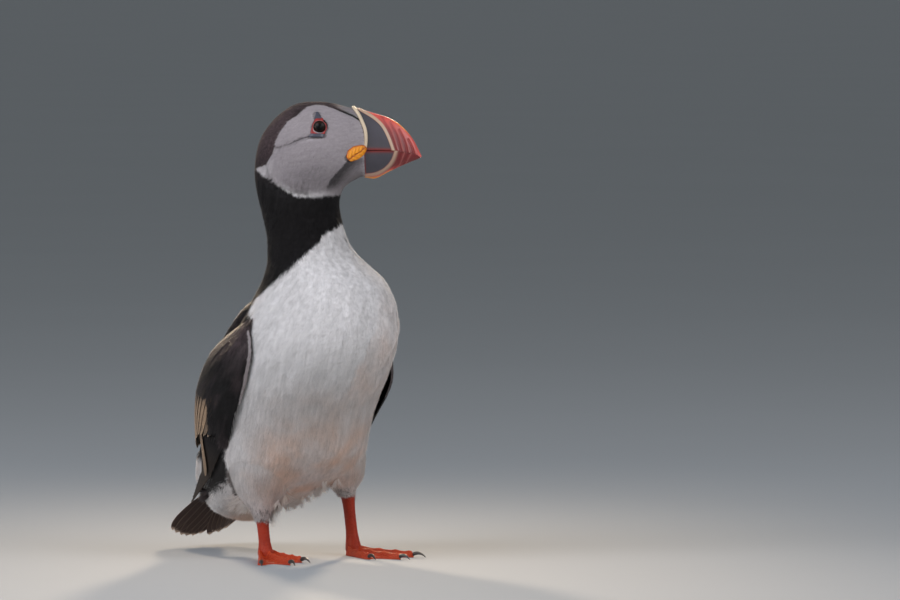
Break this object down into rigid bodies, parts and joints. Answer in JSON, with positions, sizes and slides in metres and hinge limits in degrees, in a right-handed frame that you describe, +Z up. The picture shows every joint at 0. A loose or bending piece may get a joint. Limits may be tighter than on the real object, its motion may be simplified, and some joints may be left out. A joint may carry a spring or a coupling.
{
  "type": "atlantic puffin",
  "caption": "Still life-size model of a standing Atlantic puffin, upright on both webbed feet, with its head turned to its left.",
  "frame": {"origin": "the middle of the whole bird's bounding box, on the surface that it stands on", "axes": "+Z up; the body faces -Y and the bird's own left is +X; the head is turned about 57 degrees towards +X"},
  "size_m": [0.1146, 0.1673, 0.2477],
  "materials": {
    "white_plumage": "soft white body feathers, cool at the breast and warmer at the belly",
    "grey_plumage": "short pale lavender-grey face feathers",
    "black_plumage": "black feathers with a brown sheen",
    "bill_red": "horn, orange-red with grooves and a slate base",
    "bill_pale": "cream rim of the upper bill",
    "rosette": "soft wrinkled orange-yellow skin at the corner of the mouth",
    "slate": "blue-grey horny plates above and below the eye",
    "eye": "wet, dark brown iris and black pupil",
    "leg_orange": "scaled orange-red skin of the legs, toes and webs",
    "claw": "dark horn"
  },
  "bodies": {
    "root": {"head": "grey_plumage", "neck": "black_plumage", "trunk": "white_plumage", "tail": "black_plumage", "bill_upper": "bill_red", "bill_lower": "bill_red", "bill_rim": "bill_pale", "wing_r": "black_plumage", "primaries_r": "black_plumage", "thigh_r": "white_plumage", "tarsus_r": "leg_orange", "foot_r": "leg_orange", "claw_inner_r": "claw", "claw_middle_r": "claw", "claw_outer_r": "claw", "eye_r": "eye", "eye_plate_upper_r": "slate", "eye_plate_lower_r": "slate", "rosette_r": "rosette", "wing_l": "black_plumage", "primaries_l": "black_plumage", "thigh_l": "white_plumage", "tarsus_l": "leg_orange", "foot_l": "leg_orange", "claw_inner_l": "claw", "claw_middle_l": "claw", "claw_outer_l": "claw", "eye_l": "eye", "eye_plate_upper_l": "slate", "eye_plate_lower_l": "slate", "rosette_l": "rosette"}
  },
  "joints": []
}
